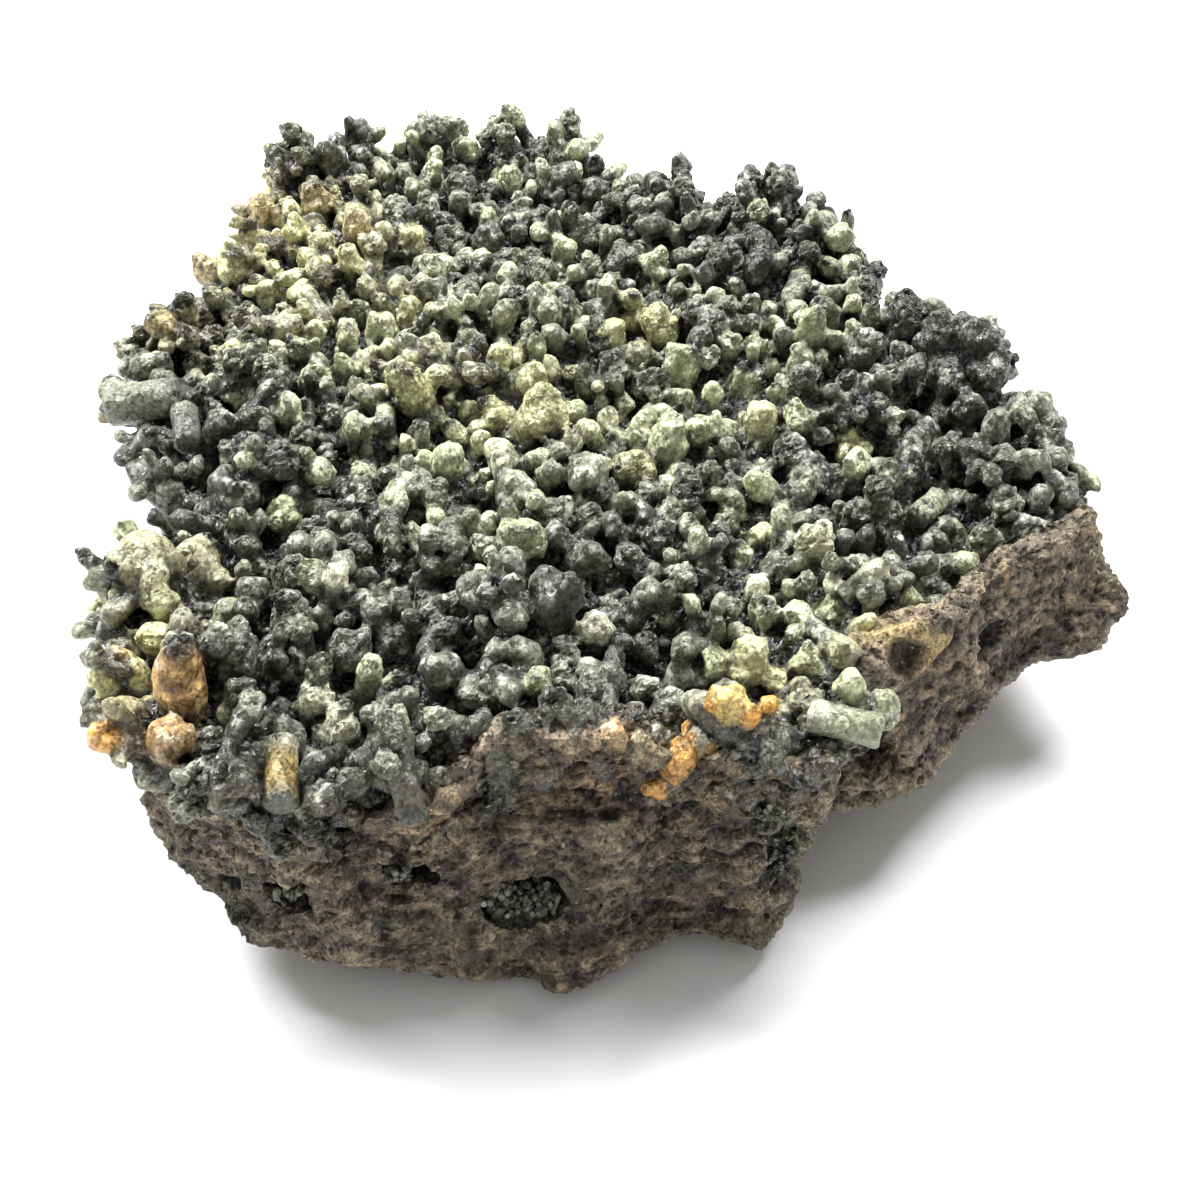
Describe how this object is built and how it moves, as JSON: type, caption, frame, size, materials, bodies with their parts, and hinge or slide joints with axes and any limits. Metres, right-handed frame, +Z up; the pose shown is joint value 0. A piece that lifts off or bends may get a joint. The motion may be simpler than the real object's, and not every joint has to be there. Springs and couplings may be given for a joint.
{
  "type": "prehnite specimen",
  "caption": "Prehnite mineral specimen: a druse of stubby, knobby crystal fingers over a broken slab of host rock that rests on a flat break.",
  "frame": {"origin": "under the middle of the bounding box, on the plane that the specimen rests on", "axes": "+Z up out of the crystal face, -Y towards the broken rock front, +X towards the wing on the right of that front"},
  "size_m": [0.1676, 0.1822, 0.0503],
  "materials": {
    "host_rock": "rough, pitted, grey-brown broken rock",
    "prehnite": "waxy, translucent grey-green to pale yellow-green crystal"
  },
  "bodies": {
    "root": {"matrix": "host_rock", "prehnite_druse": "prehnite"}
  },
  "joints": []
}
